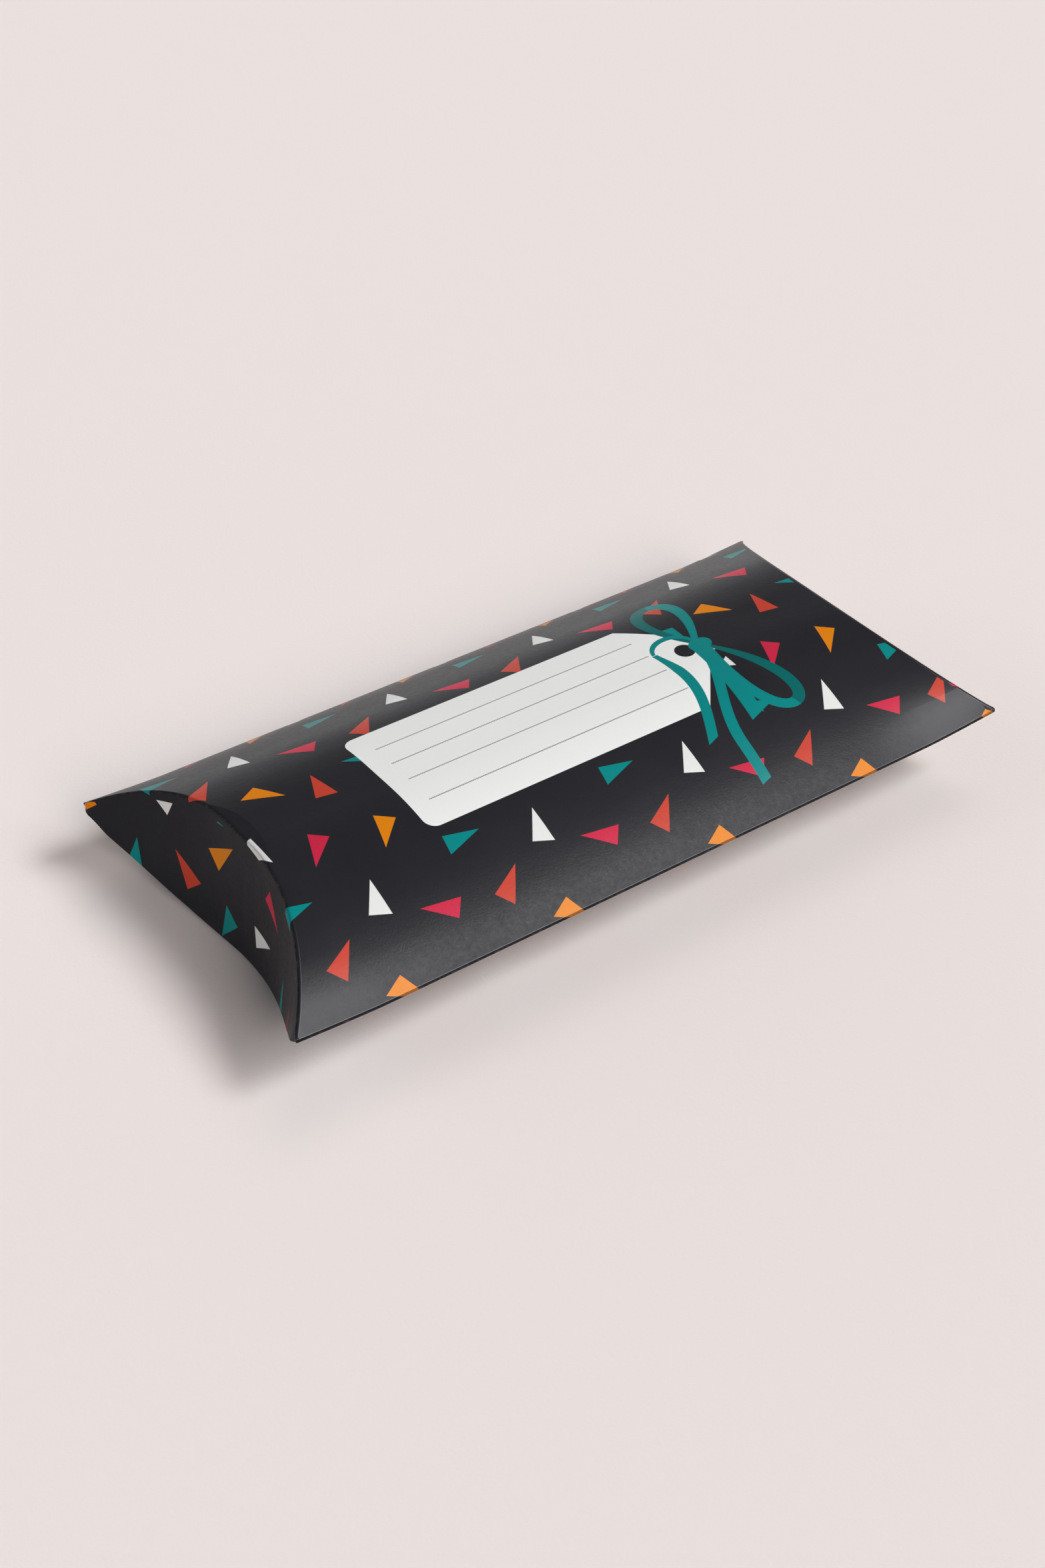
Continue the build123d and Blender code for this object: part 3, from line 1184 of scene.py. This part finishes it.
# Upper panel with both long folds and the glue flap in one sheet, and the lower panel
upperSheet = panelPiece("upperPanel", slice(frontCorner, len(line)))
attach(upperSheet, "body")
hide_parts("top_panel", "front_fold", "back_fold", "glue_flap")

lowerSheet = panelPiece("lowerPanel", slice(0, frontCorner + 1))
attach(lowerSheet, "body")
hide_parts("bottom_panel")

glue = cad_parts["glue_line"]
glue.data.materials.clear()
glue.data.materials.append(glueSkin)

# End flaps, each bent over its curved crease
topRows = rowsBeyond(frontCorner, marks[3], 1)
bottomRows = rowsBeyond(0, frontCorner + 1, -1)
bendZone = 12.0
for end, facts in ends.items():
    for kind, rows, hinge in (("outer", topRows, 1), ("inner", bottomRows, -1)):
        isOuter = kind == "outer"
        flap = flapPiece(f"{end}{kind.capitalize()}Flap", end, isOuter, rows)
        slope = facts["topSlope"] if isOuter else facts["bottomSlope"]
        apex = float(creaseLine(end, 0.0, form["rise"], isOuter))
        start = Vector((apex, 0, form["foldHeight"] + hinge * form["rise"]))
        across = Vector((-facts["side"], 0, -hinge * slope)).normalized() * bendZone
        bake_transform(flap)
        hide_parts(f"{end}_{kind}_crease", f"{end}_{kind}_flap")
print("card folded")


# Pale table top with a faint tooth
ground = {
    "half": 6.0,
    "colour": ink(235, 224, 220),
    "shade": ink(226, 214, 210),
    "tooth": (700.0, 3.0, 0.6),
    "clouds": (3.0, 2.0),
    "toothAmount": 0.08,
    "cloudAmount": 0.06,
    "bump": (0.25, 0.0003),
    "shader": {"Roughness": 0.9, "Specular IOR Level": 0.1},
}


def tableTop():
    material, tree, shader, place = newMaterial("tableTop")
    tooth = noise(tree, place, *ground["tooth"])
    cloud = noise(tree, place, *ground["clouds"])
    patches = cloud * ground["cloudAmount"] + (tooth - 0.5) * ground["toothAmount"]
    colour = blendColours(tree, patches, ground["colour"], ground["shade"])
    normal = bump(tree, *ground["bump"], tooth)
    feed(tree, shader, {"Base Color": colour, "Normal": normal, **ground["shader"]})
    half = ground["half"]
    corners = [(-half, -half, 0), (half, -half, 0), (half, half, 0), (-half, half, 0)]
    mesh = bpy.data.meshes.new("tableTop")
    mesh.from_pydata(corners, [], [(0, 1, 2, 3)])
    mesh.materials.append(material)
    top = bpy.data.objects.new("tableTop", mesh)
    bpy.context.scene.collection.objects.link(top)


tableTop()
print("table top laid")

# Camera, with its place in metres, its angles in degrees, and its focal length in pixels of a
# frame this high
view = {
    "place": (-0.4407, -0.5758, 0.5745),
    "azimuth": -36.59,
    "elevation": 37.61,
    "roll": 0.78,
    "focal": 3500.0,
    "frame": 2352.0,
    "sensor": 36.0,
}


def sightLine(azimuth, elevation):
    azimuth, elevation = math.radians(azimuth), math.radians(elevation)
    level = math.cos(elevation)
    return Vector((math.sin(azimuth) * level, -math.cos(azimuth) * level, math.sin(elevation)))


def placeCamera():
    lens = bpy.data.cameras.new("viewCamera")
    camera = bpy.data.objects.new("viewCamera", lens)
    bpy.context.scene.collection.objects.link(camera)
    back = sightLine(view["azimuth"], view["elevation"])
    right = Vector((-back.y, back.x, 0)).normalized()
    up = back.cross(right)
    turn = Matrix((right, up, back)).transposed()
    turn = turn @ Matrix.Rotation(math.radians(view["roll"]), 3, "Z")
    camera.matrix_world = Matrix.Translation(view["place"]) @ turn.to_4x4()
    lens.sensor_fit = "AUTO"
    lens.sensor_width = view["sensor"]
    lens.lens = view["focal"] / view["frame"] * view["sensor"]
    lens.clip_start = 0.01
    bpy.context.scene.camera = camera


placeCamera()

# Soft lamps around the table, each with its share of the light that falls on the table top, its
# spread and its angles. A gleam shows only on the laminate, and a fill gives no gleam.
surround = {"above": 0.03, "horizon": 1.4, "band": 12.0, "rear": 5.0, "rearAzimuth": 140.0}
tints = {
    "cool": (0.955, 1.005, 1.035),
    "blue": (0.92, 1.0, 1.1),
    "mild": (1.04, 0.995, 0.965),
    "warm": (1.06, 0.99, 0.95),
    "gleam": (1.0, 0.98, 1.0),
}
fills = {
    "firm": {"share": 0.42, "spread": 20, "elevation": 50, "azimuth": 45, "tint": "cool"},
    "front": {"share": 0.16, "spread": 20, "elevation": 40, "azimuth": 25, "tint": "cool"},
    "low": {"share": 0.2, "spread": 22, "elevation": 31, "azimuth": -10, "tint": "mild"},
    "rear": {"share": 0.1, "spread": 30, "elevation": 50, "azimuth": 130, "tint": "warm"},
    "leftFill": {"share": 0.055, "spread": 40, "elevation": 20, "azimuth": -130, "tint": "blue"},
}
gleams = {
    "frontGleam": {"share": 1.3, "spread": 24, "elevation": 43, "azimuth": 38, "tint": "gleam"},
    "sideGleam": {"share": 0.13, "spread": 40, "elevation": 55, "azimuth": 75, "tint": "gleam"},
    "rearGleam": {"share": 0.05, "spread": 50, "elevation": 37, "azimuth": 144, "tint": "gleam"},
}


def lightScene():
    world = bpy.data.worlds.new("surround")
    world.use_nodes = True
    tree = world.node_tree
    sky = tree.nodes["Background"]
    sky.inputs["Color"].default_value = (1.0, 1.0, 1.0, 1.0)
    outlook = addNode(tree, "ShaderNodeTexCoord", None, None, "Generated")
    low = (1.0 - outlook.part(2) / math.sin(math.radians(surround["band"]))).clamped()
    # the band is brightest behind the box
    aim = sightLine(surround["rearAzimuth"], 0.0)
    rear = outlook.vector("DOT_PRODUCT", outlook, aim, output="Value").clamped()
    glow = low * (rear * rear * surround["rear"] + surround["horizon"]) + surround["above"]
    tree.links.new(glow.socket, sky.inputs["Strength"])
    bpy.context.scene.world = world
    for name, facts in {**fills, **gleams}.items():
        lamp = bpy.data.lights.new(name, "SUN")
        lamp.energy = facts["share"] * math.pi / math.sin(math.radians(facts["elevation"]))
        lamp.angle = math.radians(facts["spread"])
        lamp.color = tints[facts["tint"]]
        holder = bpy.data.objects.new(name, lamp)
        direction = sightLine(facts["azimuth"], facts["elevation"])
        holder.rotation_euler = direction.to_track_quat("Z", "Y").to_euler()
        holder.visible_glossy = name in gleams
        holder.visible_diffuse = name in fills
        bpy.context.scene.collection.objects.link(holder)


lightScene()
bpy.context.scene.view_settings.view_transform = "Standard"
print("camera and lights placed")
